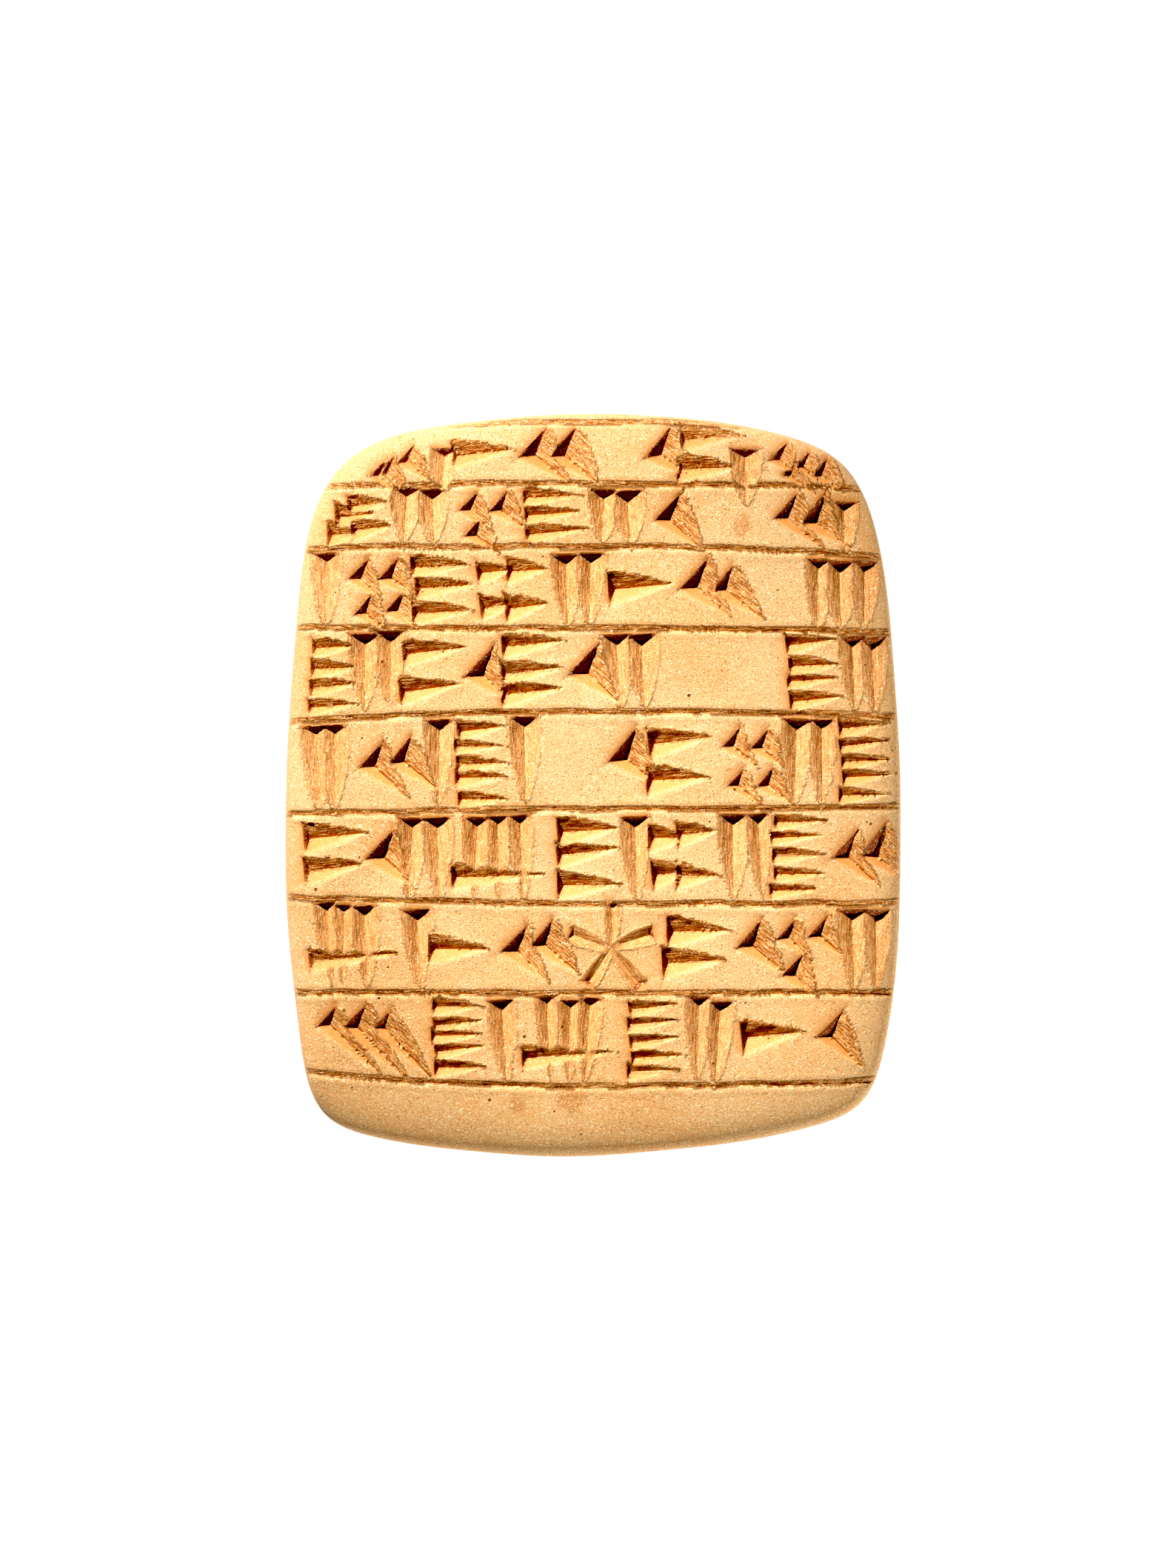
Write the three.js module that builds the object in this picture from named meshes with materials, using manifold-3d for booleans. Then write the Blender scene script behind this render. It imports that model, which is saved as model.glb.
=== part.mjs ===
// A clay tablet, hand-sized and pillow-shaped, lying on its back. Its front has ruled lines,
// and between them rows of strokes pressed with the corner of a cut reed. The strokes are
// in generic groups that spell nothing.
// Millimetres, +Z up, +X to the reader's right, +Y to the top of the writing. The origin
// is the middle of the flat spot that the back rests on.
import * as THREE from 'three';
import * as BufferGeometryUtils from 'three/addons/utils/BufferGeometryUtils.js';
import { ConvexGeometry } from 'three/addons/geometries/ConvexGeometry.js';
import Module from 'manifold-3d';

const wasm = await Module();
wasm.setup();

// ---- Driving dimensions ----

const HALF_WIDTH = 39.9; // at the widest place, a little below the middle
const HALF_HEIGHT = 48;
const FRONT_RISE = 10.5; // from the girth up to the inscribed face
const BACK_DROP = 13.5; // from the girth down to the flat spot
const BACK_CUT = 0.2; // the flat spot takes this much off the back's round

// The outline is a rounded square drawn out to the slab's size, its sides bellied.
const CORNER_TOP = 8.5; // exponents of the rounded square: the higher, the tighter
const CORNER_BOTTOM = 15;
const WIDEST = -0.17; // share of the half height
const BELLY_TOP = 0.08; // how much the sides draw in towards the top, and the bottom
const BELLY_BOTTOM = 0.13;
const ARCH = 0.1; // how much the top and bottom edges draw in towards the corners
const SAG = 0.85; // mm by which the bottom edge slants up towards the right
const FRONT_SECTION = 6; // exponents of the section's round shoulders
const BACK_SECTION = 3;

const CELLS_WIDE = 16; // the pillow's faces
const CELLS_HIGH = 18;
const CELLS_DEEP = 7;
const CROWDING = 1.25; // how far the cells crowd towards the rim

// Ruled lines: the height at the middle, then the rise at the left and the right end
const RULES = [
  [46.4, -1.2, -1.6],
  [38.2, -0.3, -0.5],
  [30.2, -0.3, -1.5],
  [19.7, 0.3, -0.4],
  [9.1, -1.3, -0.6],
  [-3.3, -0.7, 0.3],
  [-15.3, 0.8, 0],
  [-26.7, 0, 0],
  [-38.6, 2.1, 0.8],
];
const RULE_WIDTH = 1;
const RULE_DEPTH = 0.42;
const RULE_STEPS = 15;
const RULE_LIFT = 1.2; // over 1, so that a line runs out of the clay at its ends

// Each stroke is a three-sided pit: the head's edge, the tail, and the deepest point, which
// lies in from the head and parts its width. The turn is the tail's heading in degrees, the
// head is in mm, and the inset, the share and the depth are shares of the head.
const STROKES = {
  bar: { turn: 4, head: 4.2, inset: 0.18, share: 0.45, depth: 0.36 },
  post: { turn: -90, head: 4.1, inset: 0.25, share: 0.5, depth: 0.32 },
  hook: { turn: -42, head: 5.8, inset: 0.23, share: 0.3, depth: 0.26 },
};
const CUTTER_GROWTH = 1.4; // the cutters reach above the face by this scale from their tip
const MARGIN = 1.6; // bare clay between the strokes and the edge
const INNERMOST_RIM = 0.93; // no stroke's head stands nearer the rim
const DRIFT = 0.35; // how far the hand strays, in mm, and leans, in degrees
const LEAN = 4;
const VARY = 0.12; // how much the strokes differ in size
const SMALLEST_EDGE = 0.02;

// ---- The pillow ----

// Length of (a, b) measured so that the rounded square is everywhere 1 away
const roundness = (a, b) => {
  const n = b > 0 ? CORNER_TOP : CORNER_BOTTOM;
  return (Math.abs(a) ** n + Math.abs(b) ** n) ** (1 / n);
};

const drawIn = (b) => 1 - (b > WIDEST ? BELLY_TOP : BELLY_BOTTOM) * (b - WIDEST) ** 2;

// From the rounded square, -1 to 1 both ways, to the slab's outline in mm
const warp = (a, b) => [
  HALF_WIDTH * a * drawIn(b),
  HALF_HEIGHT * b * (1 - ARCH * a * a) + (b < 0 ? -SAG * a * b : 0),
];

function unwarp(x, y) {
  let [a, b] = [x / HALF_WIDTH, y / HALF_HEIGHT];
  for (let pass = 0; pass < 6; pass += 1) {
    const [nearX, nearY] = warp(a, b);
    a += (x - nearX) / HALF_WIDTH;
    b += (y - nearY) / HALF_HEIGHT;
  }
  return [a, b];
}

// Height of the inscribed face over any place on it
function face(x, y) {
  const rim = Math.min(roundness(...unwarp(x, y)), 1);
  return BACK_DROP + FRONT_RISE * (1 - rim ** FRONT_SECTION) ** (1 / FRONT_SECTION);
}

// The outline's reach to the left (-1) or right (+1) at a given height
function edgeAt(y, side) {
  const b = y / HALF_HEIGHT / (1 - ARCH * 0.6);
  const n = b > 0 ? CORNER_TOP : CORNER_BOTTOM;
  const a = (1 - Math.min(Math.abs(b), 1) ** n) ** (1 / n);
  return side * HALF_WIDTH * drawIn(b) * a;
}

function pillow() {
  const box = new THREE.BoxGeometry(2, 2, 2, CELLS_WIDE, CELLS_HIGH, CELLS_DEEP);
  const crowd = (t) => Math.sin(t * CROWDING) / Math.sin(CROWDING);
  const place = box.attributes.position;
  const spot = new THREE.Vector3();
  for (let i = 0; i < place.count; i += 1) {
    spot.fromBufferAttribute(place, i);
    const [u, v, w] = [spot.x, spot.y, spot.z].map(crowd);
    const out = Math.max(Math.abs(u), Math.abs(v));
    const n = w > 0 ? FRONT_SECTION : BACK_SECTION;
    const shoulder = (out ** n + Math.abs(w) ** n) ** (1 / n);
    const scale = out > 0 ? out / shoulder / roundness(u, v) : 0;
    const [x, y] = warp(u * scale, v * scale);
    const lift = w / shoulder;
    const z = lift > 0 ? FRONT_RISE * lift : Math.max((BACK_DROP + BACK_CUT) * lift, -BACK_DROP);
    place.setXYZ(i, x, y, z + BACK_DROP);
  }
  return solid(box);
}

// ---- Solids and cutters ----

function solid(geometry) {
  geometry.deleteAttribute('normal');
  geometry.deleteAttribute('uv');
  const merged = BufferGeometryUtils.mergeVertices(geometry, 1e-4);
  return new wasm.Manifold(new wasm.Mesh({
    numProp: 3,
    vertProperties: new Float32Array(merged.attributes.position.array),
    triVerts: new Uint32Array(merged.index.array),
  }));
}

function strokeCutter({ kind, x, y, size, long, lean }) {
  const { turn, inset, share, depth } = STROKES[kind];
  const head = STROKES[kind].head * size;
  const heading = THREE.MathUtils.degToRad(turn + lean);
  const onFace = (along, across, sink = 0) => {
    const px = x + along * Math.cos(heading) - across * Math.sin(heading);
    const py = y + along * Math.sin(heading) + across * Math.cos(heading);
    return new THREE.Vector3(px, py, face(px, py) - sink);
  };
  const deepest = onFace(head * inset, 0, head * depth);
  const rim = [onFace(0, head * (1 - share)), onFace(0, -head * share), onFace(long, 0)];
  const base = rim.map((corner) => corner.clone().lerp(deepest, 1 - CUTTER_GROWTH));
  return solid(new ConvexGeometry([deepest, ...base]));
}

function ruleAt([middle, riseLeft, riseRight], x) {
  const t = x / HALF_WIDTH;
  return middle + (t < 0 ? riseLeft : riseRight) * t * t;
}

// A three-cornered bar, one edge down, bent along the line and lifting out at both ends
function ruleCutter(rule) {
  const bar = new THREE.CylinderGeometry(1, 1, 2, 3, RULE_STEPS);
  const [left, right] = [-1, 1].map((side) => edgeAt(ruleAt(rule, side * HALF_WIDTH), side));
  const place = bar.attributes.position;
  const spot = new THREE.Vector3();
  for (let i = 0; i < place.count; i += 1) {
    spot.fromBufferAttribute(place, i);
    const t = Math.sin((spot.y * Math.PI) / 2);
    const x = THREE.MathUtils.mapLinear(t, -1, 1, left, right);
    const middle = ruleAt(rule, x);
    const bottom = -RULE_DEPTH * (1 - RULE_LIFT * t ** 6);
    const lift = THREE.MathUtils.mapLinear(spot.z, 1, -0.5, bottom, RULE_DEPTH);
    place.setXYZ(i, x, middle + Math.round(spot.x) * RULE_WIDTH, face(x, middle) + lift);
  }
  return solid(bar);
}

// ---- Groups of strokes ----
// Each gives its width and its strokes for a row so many mm tall. A stroke is placed by the
// middle of its head, from the group's left end and the row's middle line, and sized as a
// share of its kind.

const BAR_LONG = 8.8;
const BAR_SHORT = 7.4; // in stacks of more than STACK bars
const STACK = 3;
const BAR_STEP = 4.2; // from bar to bar at most
const BAR_FILL = 0.88; // share of the row that a stack fills
const BAR_HEAD = 1.2; // share of the step that a crowded bar's head takes
const POST_STEP = 3;
const POST_TOP = 0.46; // share of the row above its middle
const POST_LONG = 0.95; // share of the row
const HOOK_LONG = 7.8;
const HOOK_STEP = 3.6;
const HOOK_SHIFT = 0.8; // of the second pair to the right
const HOOK_SMALL = 0.72; // size of three hooks or more
const TIER = 0.21; // share of the row from its middle to each tier
const TIER_STEP = 3.5;
const HUNG_STEP = 2.6;
const HUNG_SIZE = 0.85;
const RAKE_STEP = 3.4;
const RAKE_LEAN = -3;
const ARM_SIZE = 0.6;

const range = (n) => [...Array(n).keys()];

const blank = (wide) => () => ({ wide, strokes: [] });

// Bars one above the other, smaller where they crowd
const bars = (n) => (tall) => {
  const step = Math.min(BAR_STEP, (BAR_FILL * tall) / n);
  const size = Math.min(1, (BAR_HEAD * step) / STROKES.bar.head);
  const long = n > STACK ? BAR_SHORT : BAR_LONG;
  const strokes = range(n).map((i) => (
    { kind: 'bar', x: 0, y: (i - (n - 1) / 2) * step, size, long }
  ));
  return { wide: long - 1, strokes };
};

// Posts side by side, hanging from the upper line
const posts = (n) => (tall) => {
  const strokes = range(n).map((i) => (
    { kind: 'post', x: (i + 0.6) * POST_STEP, y: POST_TOP * tall, size: 1, long: POST_LONG * tall }
  ));
  return { wide: (n + 0.1) * POST_STEP, strokes };
};

// Hooks in pairs, the second pair below the first
const hooks = (n) => (tall) => {
  const paired = n > 2;
  const size = paired ? HOOK_SMALL : 1;
  const strokes = range(n).map((i) => {
    const [column, tier] = [i % 2, Math.floor(i / 2)];
    const x = HOOK_STEP / 2 + HOOK_STEP * column + HOOK_SHIFT * tier;
    const y = ((paired ? TIER : TIER / 2) - 2 * TIER * tier) * tall;
    return { kind: 'hook', x, y, size, long: HOOK_LONG * size };
  });
  return { wide: HOOK_STEP * (Math.min(n, 2) + 0.4), strokes };
};

// Short bars in two tiers
const tiers = (n) => (tall) => {
  const strokes = range(2 * n).map((i) => {
    const y = TIER * tall * (i < n ? 1 : -1);
    return { kind: 'bar', x: TIER_STEP * (i % n), y, size: 0.9, long: TIER_STEP * 1.7 };
  });
  return { wide: TIER_STEP * (n + 0.5), strokes };
};

// A long bar across the tails of posts that hang from the upper line
const crossed = (n) => (tall) => {
  const long = HUNG_STEP * (n + 2);
  const hung = range(n).map((i) => {
    const x = HUNG_STEP * (i + 1.3);
    return { kind: 'post', x, y: POST_TOP * tall, size: HUNG_SIZE, long: POST_LONG * tall };
  });
  const bar = { kind: 'bar', x: 0, y: -TIER * tall, size: HUNG_SIZE, long };
  return { wide: long, strokes: [...hung, bar] };
};

// Long hooks side by side, all leaning one way
const rake = (n) => (tall) => {
  const strokes = range(n).map((i) => {
    const x = RAKE_STEP * (i + 0.5);
    return { kind: 'hook', x, y: TIER * tall, size: 0.8, long: POST_LONG * tall, lean: RAKE_LEAN };
  });
  return { wide: RAKE_STEP * (n + 1.4), strokes };
};

// Arms whose tails meet in the middle
const burst = (n) => (tall) => {
  const reach = 0.5 * tall;
  const strokes = range(n).map((i) => {
    const angle = Math.PI * (0.5 + (2 * i) / n);
    const [x, y] = [reach * (1.1 + Math.cos(angle)), reach * Math.sin(angle)];
    return { kind: 'post', x, y, size: ARM_SIZE, long: 1.2 * reach, lean: (360 * i) / n };
  });
  return { wide: 2.2 * reach, strokes };
};

// What stands in each ruled row, from the top
const TEXT = [
  [hooks(3), posts(1), bars(1), hooks(2), blank(7), hooks(1), bars(2), posts(1), hooks(4)],
  [tiers(2), posts(2), hooks(3), bars(3), posts(2), hooks(1), blank(9), hooks(2), posts(1)],
  [posts(1), hooks(4), bars(3), tiers(2), posts(2), bars(1), hooks(2), blank(7), posts(3)],
  [bars(4), posts(2), bars(2), hooks(1), bars(3), hooks(1), posts(2), blank(17), bars(4), posts(2)],
  [posts(2), hooks(2), posts(1), bars(5), posts(1), blank(7), hooks(1), bars(2), hooks(4), posts(2), bars(5)],
  [bars(2), hooks(1), posts(2), crossed(3), bars(3), posts(1), tiers(2), posts(2), bars(5), hooks(2)],
  [crossed(3), posts(1), bars(1), hooks(2), burst(5), bars(2), hooks(1), hooks(3), posts(2)],
  [rake(3), bars(5), posts(1), crossed(3), bars(5), posts(2), bars(1), hooks(1), blank(3)],
];

// A hand's unevenness: the same number from -1 to 1 for the same count
const uneven = (count) => 2 * ((Math.abs(Math.sin(count * 12.9898)) * 43758.5453) % 1) - 1;

function rowStrokes(groups, row) {
  const [upper, lower] = [RULES[row], RULES[row + 1]];
  const tall = upper[0] - lower[0];
  const middle = (upper[0] + lower[0]) / 2;
  const [left, right] = [-1, 1].map((side) => edgeAt(middle, side) - side * MARGIN);
  const made = groups.map((group) => group(tall));
  const filled = made.reduce((sum, { wide }) => sum + wide, 0);
  const gap = (right - left - filled) / made.length;
  const placed = [];
  let start = left + gap / 2;
  for (const { wide, strokes } of made) {
    for (const stroke of strokes) {
      const count = 4 * (50 * row + placed.length);
      const x = start + stroke.x + DRIFT * uneven(count);
      const [top, bottom] = [ruleAt(upper, x), ruleAt(lower, x)];
      const y = (top + bottom) / 2 + (stroke.y / tall) * (top - bottom) + DRIFT * uneven(count + 1);
      const pull = Math.min(1, INNERMOST_RIM / roundness(...unwarp(x, y)));
      const lean = (stroke.lean ?? 0) + LEAN * uneven(count + 2);
      const size = stroke.size * (1 + VARY * uneven(count + 3));
      placed.push({ ...stroke, x: x * pull, y: y * pull, size, lean });
    }
    start += wide + gap;
  }
  return placed;
}

// ---- The tablet ----

function tabletGeometry() {
  const strokes = TEXT.flatMap(rowStrokes);
  const cutters = [...RULES.map(ruleCutter), ...strokes.map(strokeCutter)];
  const carved = pillow().subtract(wasm.Manifold.union(cutters)).simplify(SMALLEST_EDGE);
  // A crumb that crossing strokes cut loose isn't part of the tablet
  const [slab] = carved.decompose().sort((a, b) => b.volume() - a.volume());
  const { vertProperties, triVerts } = slab.getMesh();
  const geometry = new THREE.BufferGeometry();
  geometry.setAttribute('position', new THREE.BufferAttribute(vertProperties, 3));
  geometry.setIndex(new THREE.BufferAttribute(triVerts, 1));
  return geometry;
}

const clay = new THREE.MeshStandardMaterial({
  color: '#dcb07c', roughness: 0.8, metalness: 0, flatShading: true,
});

const tablet = new THREE.Mesh(tabletGeometry(), clay);
tablet.name = 'tablet';

const part = new THREE.Group();
part.add(tablet);

export default part;
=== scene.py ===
import math

import bpy
import numpy as np
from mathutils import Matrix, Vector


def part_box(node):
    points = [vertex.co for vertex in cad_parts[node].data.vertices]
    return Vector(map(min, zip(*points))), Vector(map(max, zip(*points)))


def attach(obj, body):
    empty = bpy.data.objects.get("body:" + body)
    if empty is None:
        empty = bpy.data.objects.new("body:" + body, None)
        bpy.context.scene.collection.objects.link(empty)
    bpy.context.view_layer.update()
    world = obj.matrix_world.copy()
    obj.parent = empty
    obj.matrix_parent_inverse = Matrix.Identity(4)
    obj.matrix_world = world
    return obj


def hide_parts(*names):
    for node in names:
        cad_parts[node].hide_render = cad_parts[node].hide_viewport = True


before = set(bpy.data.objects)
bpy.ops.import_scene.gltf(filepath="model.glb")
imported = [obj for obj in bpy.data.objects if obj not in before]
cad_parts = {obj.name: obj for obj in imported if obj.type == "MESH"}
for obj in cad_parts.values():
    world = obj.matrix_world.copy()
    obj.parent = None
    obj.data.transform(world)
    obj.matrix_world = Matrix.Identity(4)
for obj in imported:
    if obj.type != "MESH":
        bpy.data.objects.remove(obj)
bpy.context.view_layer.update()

low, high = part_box("tablet")
MM = 0.001


# ---- Camera ----
# Looks straight down on the tablet, which lies on its back, with the top of its writing at
# the top of the frame.

FRAME_WIDTH = 0.1534  # what the frame takes in at the tablet's girth
LENS = 100
SENSOR = 36
GIRTH = 0.0135  # height of the tablet's widest level

camera_data = bpy.data.cameras.new("camera")
camera_data.lens = LENS
camera_data.sensor_fit = "HORIZONTAL"
camera_data.sensor_width = SENSOR
camera = bpy.data.objects.new("camera", camera_data)
camera.location = (-0.0007, 0.0001, GIRTH + FRAME_WIDTH * LENS / SENSOR)
bpy.context.collection.objects.link(camera)
bpy.context.scene.camera = camera


# ---- The slab ----
# A pat of fine river clay, patted between the hands into a pillow with a nearly flat front,
# rounded edges and a fuller back, which has a slight flat from lying on it. Lengths here are
# in millimetres until the mesh is made.

HALF_WIDTH = (high.x - low.x) / 2 / MM
HALF_HEIGHT = (high.y - low.y) / 2 / MM
BACK_DROP = GIRTH / MM
FRONT_RISE = high.z / MM - BACK_DROP
BACK_CUT = 0.2
CORNER_TOP = 8.5
CORNER_BOTTOM = 15
WIDEST = -0.17
BELLY_TOP = 0.08
BELLY_BOTTOM = 0.13
ARCH = 0.1
SAG = 0.85
FRONT_SECTION = 6
BACK_SECTION = 3


def roundness(a, b):
    """(|a|^n + |b|^n)^(1/n): 1 all along a rounded square, tighter in its lower half."""
    n = np.where(b > 0, CORNER_TOP, CORNER_BOTTOM)
    return (np.abs(a) ** n + np.abs(b) ** n) ** (1 / n)


def draw_in(b):
    """1 - c (b - widest)^2: how much narrower the slab is away from its widest place."""
    return 1 - np.where(b > WIDEST, BELLY_TOP, BELLY_BOTTOM) * (b - WIDEST) ** 2


def warp(a, b):
    """The rounded square, -1 to 1 both ways, drawn out to the slab's outline."""
    x = HALF_WIDTH * a * draw_in(b)
    y = HALF_HEIGHT * b * (1 - ARCH * a * a) - np.where(b < 0, SAG * a * b, 0)
    return x, y


def unwarp(x, y):
    """The inverse of warp, by adding back what is still missing, six times."""
    a, b = x / HALF_WIDTH, y / HALF_HEIGHT
    for _ in range(6):
        near_x, near_y = warp(a, b)
        a = a + (x - near_x) / HALF_WIDTH
        b = b + (y - near_y) / HALF_HEIGHT
    return a, b


def shoulder(share, n):
    """(1 - share^n)^(1/n): the section's height for a reach, or its reach for a height."""
    return (1 - np.clip(np.abs(share), 0, 1) ** n) ** (1 / n)


def edge_at(y, side):
    """The outline's reach to the left (-1) or the right (+1) at a height."""
    b = y / HALF_HEIGHT / (1 - ARCH * 0.6)
    n = CORNER_TOP if b > 0 else CORNER_BOTTOM
    return side * HALF_WIDTH * float(draw_in(b)) * (1 - min(abs(b), 1) ** n) ** (1 / n)


def ease(t):
    """3t^2 - 2t^3 between 0 and 1."""
    t = np.clip(t, 0, 1)
    return t * t * (3 - 2 * t)


def noise(x, y, seed):
    """Fixed random heights from -1 to 1 on a unit lattice, eased in between."""
    column, row = np.floor(x), np.floor(y)
    right, up = ease(x - column), ease(y - row)

    def height(i, j):
        return 2 * ((np.abs(np.sin(i * 127.1 + j * 311.7 + seed * 74.7)) * 43758.5453) % 1) - 1

    bottom = height(column, row) * (1 - right) + height(column + 1, row) * right
    top = height(column, row + 1) * (1 - right) + height(column + 1, row + 1) * right
    return bottom * (1 - up) + top * up


# ---- The ruled lines ----
# Drawn freehand across the damp face with the edge of a cut reed before the writing: a
# steep lower flank, and a wide upper one that the reed's fibres have torn.

RULES = [  # height at the middle, then the rise at the left and the right end
    [46.4, -1.2, -1.6],
    [38.2, -0.3, -0.5],
    [30.2, -0.3, -1.5],
    [19.7, 0.3, -0.4],
    [9.1, -1.3, -0.6],
    [-3.3, -0.7, 0.3],
    [-15.3, 0.8, 0],
    [-26.7, 0, 0],
    [-38.6, 2.1, 0.8],
]
RULE_DEPTH = 0.42
RULE_UPPER = 0.8  # the width of each flank
RULE_LOWER = 0.3
RULE_LIPS = [(-0.7, 0.4, 0.08), (1.1, 0.3, 0.04)]  # place from the valley, width, height
RULE_FIBRE = -0.15  # how far below the valley the torn clay starts


def rule_at(rule, x):
    """The line's height: its middle, plus the rise at that side times the reach squared."""
    middle, rise_left, rise_right = rule
    reach = x / HALF_WIDTH
    return middle + np.where(reach < 0, rise_left, rise_right) * reach * reach


def valley_of(number, x):
    """The height of the line's valley, which strays from the line a little."""
    stray = 0.12 * noise(x / 4, x * 0, number) + 0.04 * noise(x / 1.1, x * 0, number + 20)
    return rule_at(RULES[number], x) + stray


def draw(number, x, y):
    """A line's dent, lip, fibre, smoothness, wall, and places along and across it. The dent
    falls off linearly on both flanks, its depth wavers along the line, and the clay it pushed
    aside stands up in a lip on either side."""
    over = y - valley_of(number, x)
    deep = 0.8 + 0.25 * noise(x / 6, x * 0, number + 40) + 0.2 * noise(x / 0.9, x * 0, number + 60)
    slope = np.minimum(1 - over / RULE_UPPER, 1 + over / RULE_LOWER)
    dent = RULE_DEPTH * deep * np.clip(slope, 0, 1)
    lip = sum(height * np.exp(-(((over - at) / wide) ** 2)) for at, wide, height in RULE_LIPS)
    fibre = ease(slope * 3) * (over > RULE_FIBRE)
    nothing = np.zeros_like(x)
    return dent, lip, fibre, nothing, nothing, x, over


# ---- The strokes ----
# Each is one press of the reed's square corner: a steep little wall at the head, and two
# flanks that meet in a valley and run out in the tail. The reed's cut end leaves its fibres
# on one flank or both. The groups are generic and spell nothing.

KINDS = {  # heading in degrees; head in mm; inset, share and depth as shares of the head;
    # how long the tail keeps its width; softness of the upper and the lower flank's rim;
    # fibre on each flank
    "bar": (4, 4.2, 0.18, 0.45, 0.36, 1.15, 0.05, 0.3, 1, 0),
    "post": (-90, 4.1, 0.25, 0.5, 0.32, 2.4, 0.14, 0.14, 0.5, 0.6),
    "hook": (-42, 5.8, 0.23, 0.3, 0.26, 1.2, 0.06, 0.3, 0.9, 0),
}
MARGIN = 1.6
INNERMOST_RIM = 0.93
DRIFT = 0.35
LEAN = 4
VARY = 0.12
ROLL = 0.17  # how far the clay sinks to the head's edge, and over what width
ROLL_WIDE = 0.7
STREAK = 0.06  # height of the ridges that the fibres leave
TEAR = 0.2  # how ragged a torn flank's rim is, as a share of the flank
LIP = 0.09  # height and width of the clay pushed up along the flanks
LIP_WIDE = 0.5

BAR_LONG = 8.8
BAR_SHORT = 7.4  # in stacks of more than STACK bars
STACK = 3
BAR_STEP = 4.2  # from bar to bar at most
BAR_FILL = 0.88  # share of the row that a stack fills
BAR_HEAD = 1.2  # share of the step that a crowded bar's head takes
POST_STEP = 3
POST_TOP = 0.46  # share of the row above its middle
POST_LONG = 0.95  # share of the row
HOOK_LONG = 7.8
HOOK_STEP = 3.6
HOOK_SHIFT = 0.8  # of the second pair to the right
HOOK_SMALL = 0.72  # size of three hooks or more
TIER = 0.21  # share of the row from its middle to each tier
TIER_STEP = 3.5
HUNG_STEP = 2.6
HUNG_SIZE = 0.85
RAKE_STEP = 3.4
RAKE_LEAN = -3
ARM_SIZE = 0.6


def blank(wide):
    return lambda tall: (wide, [])


def bars(n):
    """Bars one above the other, smaller where they crowd."""
    def group(tall):
        step = min(BAR_STEP, BAR_FILL * tall / n)
        size = min(1, BAR_HEAD * step / KINDS["bar"][1])
        long = BAR_SHORT if n > STACK else BAR_LONG
        return long - 1, [("bar", 0, (i - (n - 1) / 2) * step, size, long, 0) for i in range(n)]
    return group


def posts(n):
    """Posts side by side, hanging from the upper line."""
    def group(tall):
        long = POST_LONG * tall
        strokes = [("post", (i + 0.6) * POST_STEP, POST_TOP * tall, 1, long, 0) for i in range(n)]
        return (n + 0.1) * POST_STEP, strokes
    return group


def hooks(n):
    """Hooks in pairs, the second pair below the first."""
    def group(tall):
        paired = n > 2
        size = HOOK_SMALL if paired else 1
        strokes = []
        for i in range(n):
            tier, column = divmod(i, 2)
            x = HOOK_STEP / 2 + HOOK_STEP * column + HOOK_SHIFT * tier
            y = ((TIER if paired else TIER / 2) - 2 * TIER * tier) * tall
            strokes.append(("hook", x, y, size, HOOK_LONG * size, 0))
        return HOOK_STEP * (min(n, 2) + 0.4), strokes
    return group


def tiers(n):
    """Short bars in two tiers."""
    def group(tall):
        strokes = []
        for i in range(2 * n):
            y = TIER * tall * (1 if i < n else -1)
            strokes.append(("bar", TIER_STEP * (i % n), y, 0.9, TIER_STEP * 1.7, 0))
        return TIER_STEP * (n + 0.5), strokes
    return group


def crossed(n):
    """A long bar across the tails of posts that hang from the upper line."""
    def group(tall):
        long = HUNG_STEP * (n + 2)
        top, tail = POST_TOP * tall, POST_LONG * tall
        hung = [("post", HUNG_STEP * (i + 1.3), top, HUNG_SIZE, tail, 0) for i in range(n)]
        return long, hung + [("bar", 0, -TIER * tall, HUNG_SIZE, long, 0)]
    return group


def rake(n):
    """Long hooks side by side, all leaning one way."""
    def group(tall):
        y, long = TIER * tall, POST_LONG * tall
        strokes = [("hook", RAKE_STEP * (i + 0.5), y, 0.8, long, RAKE_LEAN) for i in range(n)]
        return RAKE_STEP * (n + 1.4), strokes
    return group


def burst(n):
    """Arms whose tails meet in the middle."""
    def group(tall):
        reach = 0.5 * tall
        strokes = []
        for i in range(n):
            angle = math.pi * (0.5 + 2 * i / n)
            x, y = reach * (1.1 + math.cos(angle)), reach * math.sin(angle)
            strokes.append(("post", x, y, ARM_SIZE, 1.2 * reach, 360 * i / n))
        return 2.2 * reach, strokes
    return group


TEXT = [  # what stands in each ruled row, from the top
    [hooks(3), posts(1), bars(1), hooks(2), blank(7), hooks(1), bars(2), posts(1), hooks(4)],
    [tiers(2), posts(2), hooks(3), bars(3), posts(2), hooks(1), blank(9), hooks(2), posts(1)],
    [posts(1), hooks(4), bars(3), tiers(2), posts(2), bars(1), hooks(2), blank(7), posts(3)],
    [
        bars(4), posts(2), bars(2), hooks(1), bars(3), hooks(1), posts(2), blank(17), bars(4),
        posts(2),
    ],
    [
        posts(2), hooks(2), posts(1), bars(5), posts(1), blank(7), hooks(1), bars(2), hooks(4),
        posts(2), bars(5),
    ],
    [
        bars(2), hooks(1), posts(2), crossed(3), bars(3), posts(1), tiers(2), posts(2), bars(5),
        hooks(2),
    ],
    [crossed(3), posts(1), bars(1), hooks(2), burst(5), bars(2), hooks(1), hooks(3), posts(2)],
    [rake(3), bars(5), posts(1), crossed(3), bars(5), posts(2), bars(1), hooks(1), blank(3)],
]


def uneven(count):
    """A hand's unevenness: the same number from -1 to 1 for the same count."""
    return 2 * ((abs(math.sin(count * 12.9898)) * 43758.5453) % 1) - 1


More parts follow.
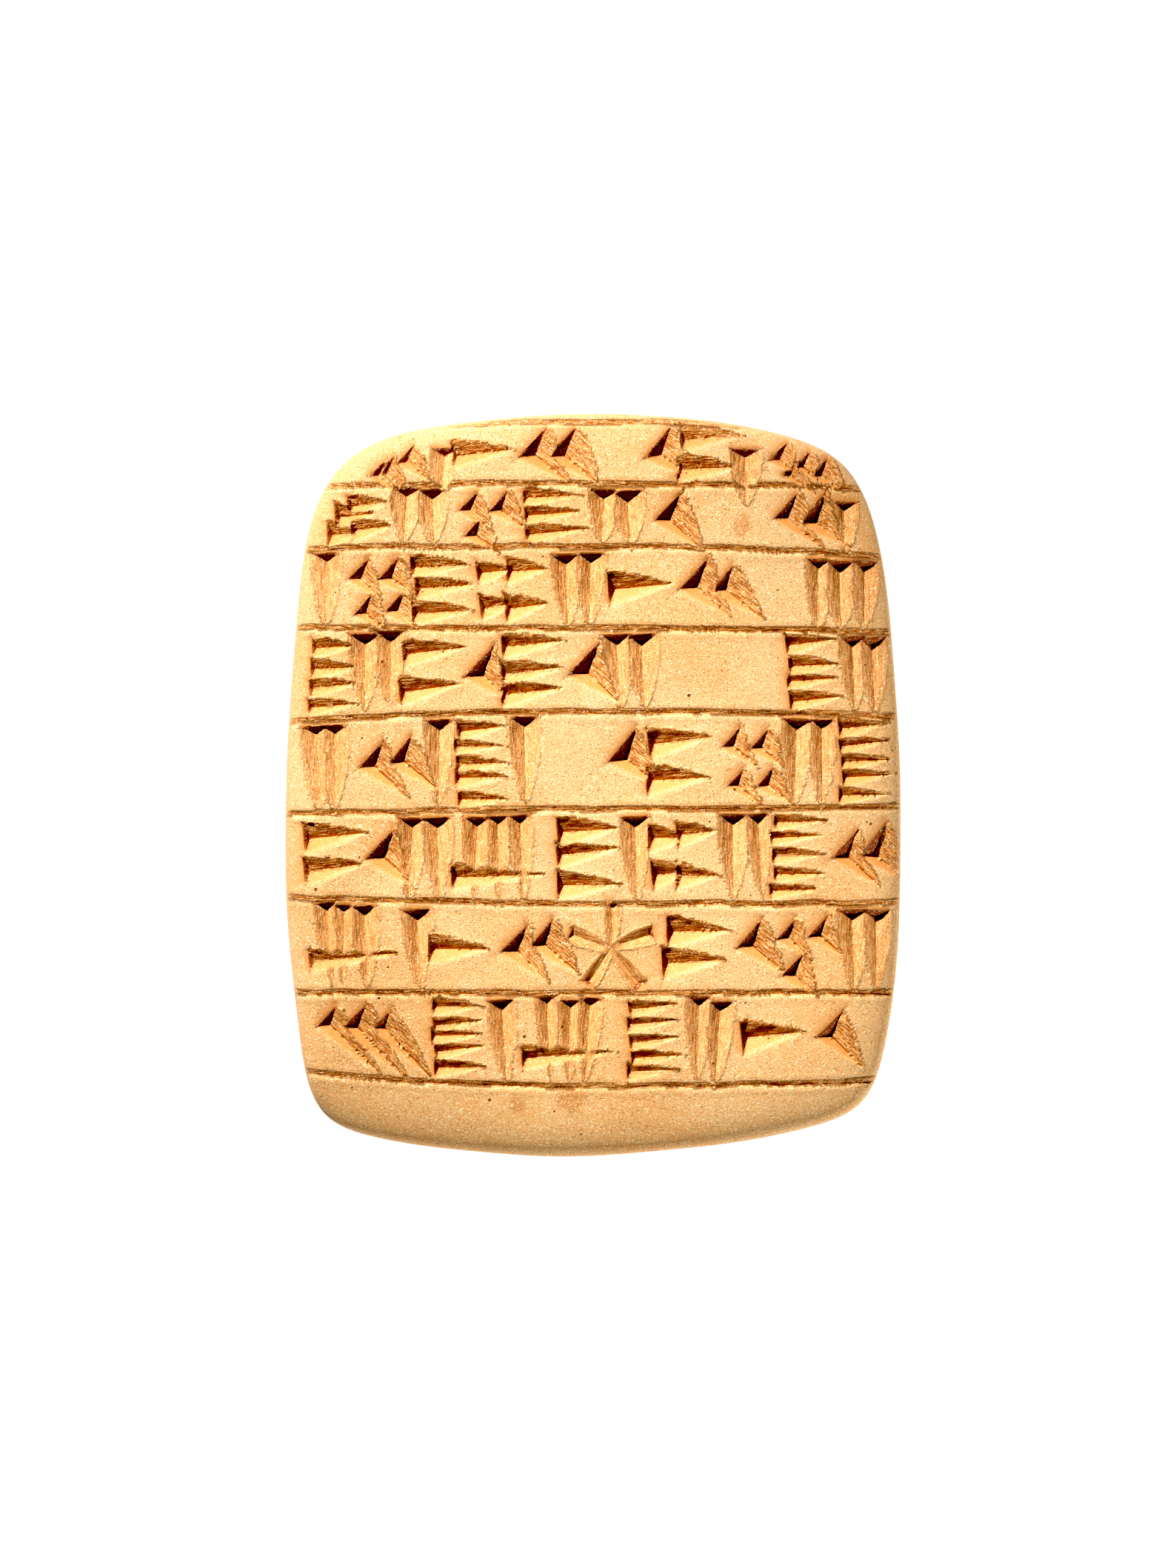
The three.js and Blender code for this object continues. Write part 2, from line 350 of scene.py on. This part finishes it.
def row_strokes(groups, row):
    """The row's groups spread evenly from margin to margin, each stroke a little astray."""
    upper, lower = RULES[row], RULES[row + 1]
    tall = upper[0] - lower[0]
    middle = (upper[0] + lower[0]) / 2
    left, right = (edge_at(middle, side) - side * MARGIN for side in (-1, 1))
    made = [group(tall) for group in groups]
    gap = (right - left - sum(wide for wide, _ in made)) / len(made)
    placed = []
    start = left + gap / 2
    for wide, strokes in made:
        for kind, stroke_x, stroke_y, size, long, lean in strokes:
            count = 4 * (50 * row + len(placed))
            x = start + stroke_x + DRIFT * uneven(count)
            top, bottom = float(rule_at(upper, x)), float(rule_at(lower, x))
            y = (top + bottom) / 2 + stroke_y / tall * (top - bottom) + DRIFT * uneven(count + 1)
            pull = min(1, INNERMOST_RIM / float(roundness(*unwarp(x, y))))
            lean += LEAN * uneven(count + 2)
            size *= 1 + VARY * uneven(count + 3)
            placed.append((kind, x * pull, y * pull, size, long, lean))
        start += wide + gap
    return placed


STROKES = [stroke for row, groups in enumerate(TEXT) for stroke in row_strokes(groups, row)]


def soften(t, radius):
    """(t + sqrt(t^2 + radius^2)) / 2: t above 0 and nothing below, rounded in between."""
    return (t + np.sqrt(t * t + radius * radius)) / 2


def outline_of(stroke):
    """The stroke's heading, its two head corners' and its tail's places along and across,
    and its deepest point's inset and depth."""
    kind, x, y, size, long, lean = stroke
    turn, head, inset, share, depth = KINDS[kind][:5]
    head *= size
    heading = math.radians(turn + lean)
    return heading, head * (1 - share), -head * share, long, head * inset, head * depth


def press(number, x, y):
    """A stroke's dent, lip, fibre, smoothness, wall, and places along and across it. The
    valley rises evenly from the deepest point to the tail, both flanks rise evenly from the
    valley to the stroke's sides, whose distance shrinks as 1 - (along / long)^n, and the
    head's wall cuts across them. Where the clay sinks to the head's edge, the smoothness
    carries that sinking instead, which colours the band as painted shade."""
    stroke = STROKES[number]
    heading, top, bottom, long, inset, depth = outline_of(stroke)
    tongue, soft_upper, soft_lower, fibre_upper, fibre_lower = KINDS[stroke[0]][5:]
    ahead, aside = x - stroke[1], y - stroke[2]
    along = ahead * math.cos(heading) + aside * math.sin(heading)
    across = aside * math.cos(heading) - ahead * math.sin(heading)
    head = along / inset
    valley = np.clip(1 - (along - inset) / (long - inset), 0, None)
    narrowing = np.maximum(1 - np.clip(along / long, 0, 1) ** tongue, 0.02)
    side = np.where(across > 0, top, -bottom) * narrowing
    outwards = np.abs(across) / side
    rough = np.where(across > 0, fibre_upper, fibre_lower)
    soft = np.where(across > 0, soft_upper, soft_lower)
    tear = TEAR * noise(along / 1.3, across / 0.8, number) * rough * outwards
    share = np.minimum(soften(head, 0.12), valley * soften(1 - outwards + tear, soft))
    inside = (outwards < 1.02) * (along > -0.05) * (along < long)
    wall = (head < valley * (1 - outwards)) * inside
    fibre = rough * (1 - wall) * inside
    smooth = (1 - rough) * (1 - wall) * inside * ease(share * 3)
    streak = STREAK * noise(along / 3, across / 0.45, number + 200)
    pressed = depth * share + streak * fibre * ease(share * 4)
    middle, half = (top + bottom) / 2, (top - bottom) / 2
    roll = np.exp(-np.abs(along) / ROLL_WIDE) * ease((half + 0.3 - np.abs(across - middle)) / 0.8)
    rolled = ROLL * roll > pressed
    flank = np.minimum(long - along, (1 - outwards) * side)
    lip = LIP * np.exp(-np.abs(flank) / LIP_WIDE) * ease(along / 0.8)
    # Where the clay sinks to the head's edge the smoothness carries the sinking, so that band is
    # coloured like the smooth flanks as painted shade.
    return (
        np.maximum(pressed, ROLL * roll), lip, np.where(rolled, 0, fibre),
        np.where(rolled, roll, smooth), np.where(rolled, 0, wall), along, across,
    )


# ---- The tablet's surface ----
# The slab, its lines and its strokes are one skin of clay: a fine grid over the inscribed
# face, rings round the edge, and a coarser grid over the back.

CELLS_ACROSS = 255
CELLS_UP = 306
FACE_RIM = 0.996  # how far out the fine grid goes
MARKED_RIM = 0.975  # where the marks on the face start to fade out
MARK_APART = 3.7  # how far apart the marks' fibres lie in the clay's grain
BACK_RIM = 0.8
COARSER = 3  # fine cells to each coarse one
EDGE_RINGS = 22


def grid(cells_across, cells_up, rim):
    """Places on the rounded square out to a rim, on a square grid bent to its outline."""
    u, v = np.meshgrid(np.linspace(-1, 1, cells_across + 1), np.linspace(-1, 1, cells_up + 1))
    reach = np.maximum(np.abs(u), np.abs(v))
    scale = rim * reach / np.maximum(roundness(u, v), 1e-9)
    return u * scale, v * scale


def carve(x, y):
    """The inscribed face at any places: its height, and how fibrous, smooth and steep the
    clay is there, with the places along and across the reed mark they lie in. The smoothness
    also carries painted shade where the clay sinks to a stroke's head."""
    rim = roundness(*unwarp(x, y))
    height = BACK_DROP + FRONT_RISE * shoulder(rim, FRONT_SECTION)
    dent, lip, fibre, smooth, wall = (np.zeros_like(x) for _ in range(5))
    reed = np.zeros((len(x), 3))
    marks = []
    for number, rule in enumerate(RULES):
        near = np.flatnonzero(np.abs(y - rule_at(rule, x)) < 2)
        marks.append((near, draw(number, x[near], y[near])))
    for number, stroke in enumerate(STROKES):
        reach = stroke[4] + 2
        near = np.flatnonzero(np.hypot(x - stroke[1], y - stroke[2]) < reach)
        marks.append((near, press(number, x[near], y[near])))
    for number, (near, (deep, raised, rough, sleek, steep, along, across)) in enumerate(marks):
        lip[near] = np.maximum(lip[near], raised)
        deeper = deep > dent[near]
        chosen = near[deeper]
        dent[chosen] = deep[deeper]
        fibre[chosen] = rough[deeper]
        smooth[chosen] = sleek[deeper]
        wall[chosen] = steep[deeper]
        grain = np.full_like(along, MARK_APART * number)
        reed[chosen] = np.stack([along, across, grain], 1)[deeper]
    fade = 1 - ease((rim - MARKED_RIM) / (FACE_RIM - MARKED_RIM))
    swell = 0.13 * noise(x / 13, y / 9, 301) + 0.06 * noise(x / 4, y / 3, 302)
    return height + fade * (swell + lip - dent), fibre * fade, smooth * fade, wall * fade, reed


STAINS = [(-2.8, -40.4, 1.5), (-9.8, -40.8, 0.9), (19, 33, 1.1)]  # middle and radius


def stained(x, y):
    """How dark the clay's stains are at any places: 1 inside each ragged circle."""
    ragged = 0.35 * noise(x / 0.7, y / 0.9, 501) + 0.2 * noise(x / 0.35, y / 0.35, 502)
    spots = [ease(1.6 - np.hypot(x - i, y - j) / radius + ragged) for i, j, radius in STAINS]
    return np.max(spots, axis=0)


def snap(x, y, cell):
    """Moves the grid's points that are within half a cell of a crisp edge onto it: a
    stroke's head, its two creases to the deepest point, its valley and its rims, and a
    ruled line's valley and upper rim."""
    nearest = np.full_like(x, np.inf)
    shift = np.zeros((len(x), 2))
    for stroke in STROKES:
        heading, top, bottom, long, inset, _ = outline_of(stroke)
        cosine, sine = math.cos(heading), math.sin(heading)
        turn = np.array([[cosine, sine], [-sine, cosine]])
        origin = np.array(stroke[1:3])
        near = np.flatnonzero(np.hypot(x - origin[0], y - origin[1]) < long + 1)
        spots = np.stack([x[near], y[near]], 1)
        corners = [(0, top), (0, bottom), (long, 0), (inset, 0)]
        upper, lower, tail, deepest = (origin + np.array(corner) @ turn for corner in corners)
        for start, end in [(upper, lower), (deepest, upper), (deepest, lower), (deepest, tail)]:
            way = end - start
            length = np.linalg.norm(way)
            way = way / length
            run = np.clip((spots - start) @ way, 0, length)
            move = start + run[:, None] * way - spots
            off = np.linalg.norm(move, axis=1)
            close = (off < nearest[near]) & (off < cell / 2 * np.abs(way).max())
            nearest[near[close]] = off[close]
            shift[near[close]] = move[close]
        along, across = ((spots - origin) @ turn.T).T
        narrowing = 1 - np.clip(along / long, 0, 1) ** KINDS[stroke[0]][5]
        off = np.where(across > 0, top, bottom) * narrowing - across
        close = (along > 0) & (along < long) & (np.abs(off) < nearest[near])
        close &= np.abs(off) < 0.4 * cell
        nearest[near[close]] = np.abs(off[close])
        shift[near[close]] = off[close, None] * turn[1]
    for number in range(len(RULES)):
        valley = valley_of(number, x)
        for level in (valley, valley + RULE_UPPER):
            off = np.abs(level - y)
            close = (off < nearest) & (off < cell / 2)
            nearest[close] = off[close]
            shift[close, 0] = 0
            shift[close, 1] = (level - y)[close]
    return x + shift[:, 0], y + shift[:, 1]


def quads(rows, columns, first=0):
    """The four corners, anticlockwise, of every cell of a grid of points."""
    corner = first + np.arange(rows - 1)[:, None] * columns + np.arange(columns - 1)
    corner = corner.ravel()
    return np.stack([corner, corner + 1, corner + columns + 1, corner + columns], 1)


def border(rows, columns, step):
    """The grid's border points, anticlockwise from the lower left corner, every step-th."""
    numbers = np.arange(rows * columns).reshape(rows, columns)
    return np.concatenate([
        numbers[0, :-1:step], numbers[:-1:step, -1], numbers[-1, :0:-step], numbers[:0:-step, 0]
    ])


# The inscribed face, each cell split along the diagonal that lies nearer the true surface
a, b = grid(CELLS_ACROSS, CELLS_UP, FACE_RIM)
face_x, face_y = warp(a.ravel(), b.ravel())
face_border = border(CELLS_UP + 1, CELLS_ACROSS + 1, 1)
fixed_x, fixed_y = face_x[face_border].copy(), face_y[face_border].copy()
face_x, face_y = snap(face_x, face_y, 2 * HALF_WIDTH * FACE_RIM / CELLS_ACROSS)
face_x[face_border], face_y[face_border] = fixed_x, fixed_y
face_z, fibre, smooth, wall, reed = carve(face_x, face_y)
cells = quads(CELLS_UP + 1, CELLS_ACROSS + 1)
middle_z = carve(face_x[cells].mean(1), face_y[cells].mean(1))[0]
rising = np.abs(face_z[cells[:, [0, 2]]].mean(1) - middle_z)
falling = np.abs(face_z[cells[:, [1, 3]]].mean(1) - middle_z)
turned = np.where((falling < rising)[:, None], np.roll(cells, -1, axis=1), cells)
face_triangles = np.concatenate([turned[:, [0, 1, 2]], turned[:, [0, 2, 3]]])
face_a, face_b = unwarp(face_x, face_y)

# Rings down the edge, a third as many points to each
ring_start = border(CELLS_UP + 1, CELLS_ACROSS + 1, COARSER)
ring_a, ring_b = a.ravel()[ring_start] / FACE_RIM, b.ravel()[ring_start] / FACE_RIM
ring_z = np.linspace(
    FRONT_RISE * shoulder(FACE_RIM, FRONT_SECTION),
    -(BACK_DROP + BACK_CUT) * shoulder(BACK_RIM, BACK_SECTION),
    EDGE_RINGS + 1,
)[1:-1]
ring_reach = np.where(
    ring_z > 0,
    shoulder(ring_z / FRONT_RISE, FRONT_SECTION),
    shoulder(ring_z / (BACK_DROP + BACK_CUT), BACK_SECTION),
)
edge_a = np.outer(ring_reach, ring_a).ravel()
edge_b = np.outer(ring_reach, ring_b).ravel()
edge_z = BACK_DROP + np.repeat(ring_z, len(ring_start))

# The back, turned over so that it faces down
back_across, back_up = CELLS_ACROSS // COARSER, CELLS_UP // COARSER
back_a, back_b = (part.ravel() for part in grid(back_across, back_up, BACK_RIM))
back_fall = (BACK_DROP + BACK_CUT) * shoulder(roundness(back_a, back_b), BACK_SECTION)
back_z = BACK_DROP - np.minimum(back_fall, BACK_DROP)

face_count = len(face_x)
edge_count = len(edge_z)
ring = np.arange(len(ring_start))
turn_on = np.roll(ring, -1)
rings = [face_count + number * len(ring) + ring for number in range(len(ring_z))]
rings.append(face_count + edge_count + border(back_up + 1, back_across + 1, 1))
triangles = [face_triangles]
between = [face_border[(COARSER * ring + k) % len(face_border)] for k in range(COARSER + 1)]
under, under_on = rings[0][ring], rings[0][turn_on]
triangles.append(np.stack([between[0], under, between[1]], 1))
triangles.append(np.stack([between[1], under, under_on], 1))
triangles.append(np.stack([between[1], under_on, between[2]], 1))
triangles.append(np.stack([between[2], under_on, between[3]], 1))
for higher, lower in zip(rings, rings[1:]):
    triangles.append(np.stack([higher[ring], lower[ring], lower[turn_on]], 1))
    triangles.append(np.stack([higher[ring], lower[turn_on], higher[turn_on]], 1))
back_cells = quads(back_up + 1, back_across + 1, face_count + edge_count)[:, ::-1]
triangles.append(back_cells[:, [0, 1, 2]])
triangles.append(back_cells[:, [0, 2, 3]])
triangles = np.concatenate(triangles)

all_a = np.concatenate([face_a, edge_a, back_a])
all_b = np.concatenate([face_b, edge_b, back_b])
x, y = warp(all_a, all_b)
x[:face_count], y[:face_count] = face_x, face_y
z = np.concatenate([face_z, edge_z, back_z])


PAT = 0.18


def patted(x, y, z):
    """How far the hand's patting has pushed the clay in: a sum of slow waves that cross at
    odd angles, in mm, twice as deep on the back and nothing on the flat it rests on."""
    waves = [
        (0.11, 0.05, 0.08, 0.3), (-0.07, 0.13, 0.1, 1.9), (0.21, 0.17, -0.15, 4.1),
        (0.3, -0.26, 0.2, 2.2),
    ]
    depth = sum(np.sin(i * x + j * y + k * z + phase) for i, j, k, phase in waves) / len(waves)
    return -PAT * (depth + 1) * (1 + 1.2 * ease((BACK_DROP - z) / 8)) * ease(z / 3)


reach = np.minimum(roundness(all_a, all_b), 1)
n = np.where(all_b > 0, CORNER_TOP, CORNER_BOTTOM)
lift = (z - BACK_DROP) / np.where(z > BACK_DROP, FRONT_RISE, BACK_DROP)
section = np.where(z > BACK_DROP, FRONT_SECTION, BACK_SECTION)
outwards = np.stack([
    reach ** (section - n) * np.abs(all_a) ** (n - 1) * np.sign(all_a) / HALF_WIDTH,
    reach ** (section - n) * np.abs(all_b) ** (n - 1) * np.sign(all_b) / HALF_HEIGHT,
    np.abs(lift) ** (section - 1) * np.sign(lift) / FRONT_RISE,
], 1)
outwards[~np.isfinite(outwards)] = 0
outwards /= np.maximum(np.linalg.norm(outwards, axis=1), 1e-9)[:, None]
points = np.stack([x, y, z], 1) + outwards * patted(x, y, z)[:, None]


CRISP = 32  # degrees between two faces from which their edge is crisp


def fill(mesh, points, triangles):
    """Puts whole arrays of points and triangles into a mesh."""
    mesh.vertices.add(len(points))
    mesh.vertices.foreach_set("co", points.astype(np.float32).ravel())
    mesh.loops.add(triangles.size)
    mesh.loops.foreach_set("vertex_index", triangles.astype(np.int32).ravel())
    mesh.polygons.add(len(triangles))
    mesh.polygons.foreach_set("loop_start", np.arange(0, triangles.size, 3, dtype=np.int32))
    mesh.update(calc_edges=True)


mesh = bpy.data.meshes.new("tablet_clay")
fill(mesh, points * MM, triangles)
mesh.polygons.foreach_set("use_smooth", np.ones(len(triangles), bool))
mesh.set_sharp_from_angle(angle=math.radians(CRISP))
rest = np.zeros(len(points) - face_count)
stain = stained(face_x, face_y)
masks = (("fibre", fibre), ("smooth", smooth), ("wall", wall), ("stain", stain))
for name, values in masks:
    attribute = mesh.attributes.new(name, "FLOAT", "POINT")
    attribute.data.foreach_set("value", np.concatenate([values, rest]).astype(np.float32))
attribute = mesh.attributes.new("reed", "FLOAT_VECTOR", "POINT")
reed = np.concatenate([reed, np.zeros((len(rest), 3))])
attribute.data.foreach_set("vector", reed.astype(np.float32).ravel())
tablet = bpy.data.objects.new("tablet_clay", mesh)
bpy.context.collection.objects.link(tablet)
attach(tablet, "root")
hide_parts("tablet")

# The clay: a dense cream-gold skin, smoothed by a wet finger, orange where the reed's flat
# side has pressed it smooth, and streaked with brown where its fibres have dragged it open.
# Fine sand shows as pale and dark grains. Painted shade: darker orange where the clay sinks
# to each stroke's head, dark red-brown on the heads' steep walls, and dark brown in the pits.

SKIN = (0.83, 0.56, 0.31, 1)
SKIN_WARM = (0.82, 0.49, 0.24, 1)
# orange of the smooth flanks, and painted shade where the clay sinks to each head
SMOOTH_AND_PAINTED_SHADE = (0.72, 0.30, 0.09, 1)
TORN = (0.82, 0.42, 0.15, 1)
TORN_DARK = (0.40, 0.10, 0.015, 1)
# painted shade: the dark red-brown of the heads' steep walls
WALL_PAINTED_SHADE = (0.28, 0.04, 0.008, 1)
# dark sand grains, and painted shade in the pinholes
GRAIN_DARK_AND_PIT_SHADE = (0.20, 0.07, 0.02, 1)
GRAIN_PALE = (0.95, 0.85, 0.58, 1)
GRIT_SHADE = (0.82, 0.70, 0.52, 1)
STAIN = (0.62, 0.28, 0.1, 1)

clay = bpy.data.materials.new("clay")
clay.use_nodes = True
nodes, links = clay.node_tree.nodes, clay.node_tree.links
surface = nodes["Principled BSDF"]


def node(kind, inputs=None, **settings):
    """Adds a node with its settings, each input given a value or another node's output."""
    made = nodes.new(kind)
    for name, value in settings.items():
        setattr(made, name, value)
    for name, value in (inputs or {}).items():
        if isinstance(value, bpy.types.NodeSocket):
            links.new(value, made.inputs[name])
        else:
            made.inputs[name].default_value = value
    return made


def grains(place, scale, detail=2, roughness=0.5):
    """Noise at a place."""
    wanted = {"Vector": place, "Scale": scale, "Detail": detail, "Roughness": roughness}
    return node("ShaderNodeTexNoise", wanted).outputs["Fac"]


def between_of(value, start, end, low=0, high=1):
    """The value's stretch from start to end, spread from low to high."""
    wanted = {"Value": value, "From Min": start, "From Max": end, "To Min": low, "To Max": high}
    return node("ShaderNodeMapRange", wanted, interpolation_type="SMOOTHSTEP").outputs["Result"]


def mix(share, first, second, blend="MIX"):
    """One colour over another."""
    made = node("ShaderNodeMix", data_type="RGBA", blend_type=blend)
    for number, value in ((0, share), (6, first), (7, second)):
        socket = made.inputs[number]
        if isinstance(value, bpy.types.NodeSocket):
            links.new(value, socket)
        else:
            socket.default_value = value
    return made.outputs[2]


def times(first, second):
    """Two masks or heights multiplied."""
    return node("ShaderNodeMath", {0: first, 1: second}, operation="MULTIPLY").outputs[0]


def plus(first, second):
    return node("ShaderNodeMath", {0: first, 1: second}, operation="ADD").outputs[0]


place = node("ShaderNodeTexCoord").outputs["Object"]
fibre_mask = node("ShaderNodeAttribute", attribute_name="fibre").outputs["Fac"]
smooth_and_painted_shade_mask = node("ShaderNodeAttribute", attribute_name="smooth").outputs["Fac"]
wall_painted_shade_mask = node("ShaderNodeAttribute", attribute_name="wall").outputs["Fac"]
stain_mask = node("ShaderNodeAttribute", attribute_name="stain").outputs["Fac"]
reed_place = node("ShaderNodeAttribute", attribute_name="reed").outputs["Vector"]

mottle = plus(times(grains(place, 60, 3), 0.6), times(grains(place, 1300, 2), 0.4))
skin = mix(between_of(mottle, 0.4, 0.6), SKIN, SKIN_WARM)



def streaks_of(stretch, detail, roughness):
    """Noise drawn out along the reed's mark."""
    drawn = node(
        "ShaderNodeMapping", {"Vector": reed_place, "Scale": (*stretch, 1)}, vector_type="POINT"
    ).outputs["Vector"]
    return grains(drawn, 1, detail, roughness)


streaks = streaks_of((0.5, 3.4), 2, 0.5)
fine_streaks = streaks_of((1, 8.5), 2, 0.6)
torn = mix(between_of(streaks, 0.36, 0.6, 0.25, 1), TORN_DARK, TORN)
torn = mix(between_of(fine_streaks, 0.45, 0.38), torn, TORN_DARK)
torn = mix(between_of(fine_streaks, 0.54, 0.62, 0, 0.8), torn, SKIN)
# Painted shade: the same orange darkens the band where the clay sinks to each stroke's head.
colour = mix(times(smooth_and_painted_shade_mask, 0.85), skin, SMOOTH_AND_PAINTED_SHADE)
colour = mix(fibre_mask, colour, torn)
# Painted shade: the heads' steep walls are coloured dark red-brown, as if in shadow.
colour = mix(times(wall_painted_shade_mask, 0.85), colour, WALL_PAINTED_SHADE)
colour = mix(times(stain_mask, 0.6), colour, STAIN)

sand = grains(place, 4200, 2)
grit = grains(place, 9000, 1)
uncovered = {0: 1, 1: times(smooth_and_painted_shade_mask, 0.7)}
gritty = node("ShaderNodeMath", uncovered, operation="SUBTRACT").outputs[0]
shade = mix(between_of(grit, 0.34, 0.6), GRIT_SHADE, (1, 1, 1, 1))
colour = mix(gritty, colour, mix(1, colour, shade, "MULTIPLY"))
colour = mix(times(gritty, between_of(sand, 0.62, 0.7, 0, 0.6)), colour, GRAIN_DARK_AND_PIT_SHADE)
colour = mix(times(gritty, between_of(sand, 0.42, 0.32, 0, 0.8)), colour, GRAIN_PALE)


def pores(scale, size, share):
    """Round pits in a share of the cells of a pattern, their size as a share of a cell."""
    cells = node("ShaderNodeTexVoronoi", {"Vector": place, "Scale": scale})
    chosen = between_of(cells.outputs["Color"], 1 - share, 1.02 - share)
    return times(between_of(cells.outputs["Distance"], size, 0.6 * size), chosen)


both = {0: pores(650, 0.1, 0.2), 1: pores(230, 0.055, 0.4)}
pore = node("ShaderNodeMath", both, operation="MAXIMUM").outputs[0]
# Painted shade: the pinholes are coloured almost the dark grains' brown.
colour = mix(times(pore, 0.9), colour, GRAIN_DARK_AND_PIT_SHADE)
links.new(colour, surface.inputs["Base Color"])

relief = times(gritty, plus(times(sand, 0.5), times(grit, 0.5)))
relief = plus(relief, times(grains(place, 900, 3), 0.5))
relief = plus(relief, times(times(fibre_mask, plus(streaks, times(fine_streaks, 0.5))), 2))
relief = plus(relief, times(pore, -1.5))
bump = node("ShaderNodeBump", {"Height": relief, "Strength": 1, "Distance": 0.00012})
links.new(bump.outputs["Normal"], surface.inputs["Normal"])
links.new(between_of(sand, 0.3, 0.7, 0.6, 0.85), surface.inputs["Roughness"])
surface.inputs["Specular IOR Level"].default_value = 0.4
mesh.materials.append(clay)


# ---- Floor and light ----
# A plain pale floor, lit evenly from above. On the tablet a soft-edged key light low from the
# upper left shows up the strokes, and a wide low one from the lower right lights the edge.

floor_mesh = bpy.data.meshes.new("floor")
floor_mesh.from_pydata([(-2, -2, 0), (2, -2, 0), (2, 2, 0), (-2, 2, 0)], [], [(0, 1, 2, 3)])
floor = bpy.data.objects.new("floor", floor_mesh)
bpy.context.collection.objects.link(floor)
pale = bpy.data.materials.new("pale_floor")
pale.use_nodes = True
pale.node_tree.nodes["Principled BSDF"].inputs["Base Color"].default_value = (0.9, 0.9, 0.9, 1)
pale.node_tree.nodes["Principled BSDF"].inputs["Roughness"].default_value = 0.9
floor_mesh.materials.append(pale)


def lamp(name, kind, direction, distance, strength, tint, lit):
    """A lamp of one kind at a distance from the middle of the face, aimed at it, which
    lights only what it is given."""
    data = bpy.data.lights.new(name, kind)
    data.energy = strength
    data.color = tint
    light = bpy.data.objects.new(name, data)
    towards = np.array(direction) / np.linalg.norm(direction)
    light.location = np.array((0.008, -0.018, high.z)) + towards * distance
    light.rotation_euler = Vector(-towards).to_track_quat("-Z", "Y").to_euler()
    bpy.context.collection.objects.link(light)
    group = bpy.data.collections.new(name + "_lights")
    group.objects.link(lit)
    light.light_linking.receiver_collection = group
    return data


key = lamp("key", "SPOT", (-0.37, 0.64, 0.52), 1, 85, (1, 0.97, 0.92), tablet)
key.shadow_soft_size = 0.025
key.spot_size = math.radians(10.5)
key.spot_blend = 1
rim_light = lamp("rim_light", "SUN", (0.7, -0.75, 0.06), 1, 2.4, (1, 0.95, 0.85), tablet)
rim_light.angle = math.radians(8)
overhead = lamp("overhead", "SUN", (0, 0, 1), 1, 3.3, (1, 1, 1), floor)
overhead.angle = math.radians(20)

world = bpy.data.worlds.new("world")
world.use_nodes = True
sky = world.node_tree
seen = sky.nodes.new("ShaderNodeLightPath").outputs["Is Camera Ray"]
strength = sky.nodes.new("ShaderNodeMapRange")
strength.inputs["To Min"].default_value = 0.02
strength.inputs["To Max"].default_value = 0.9
sky.links.new(seen, strength.inputs["Value"])
sky.links.new(strength.outputs["Result"], sky.nodes["Background"].inputs["Strength"])
sky.nodes["Background"].inputs["Color"].default_value = (1, 0.97, 0.94, 1)
bpy.context.scene.world = world
view = bpy.context.scene.view_settings
view.view_transform = "Standard"
view.look = "Medium High Contrast"
view.use_curve_mapping = True
view.curve_mapping.black_level = (0.045, 0.045, 0.045)
view.curve_mapping.update()
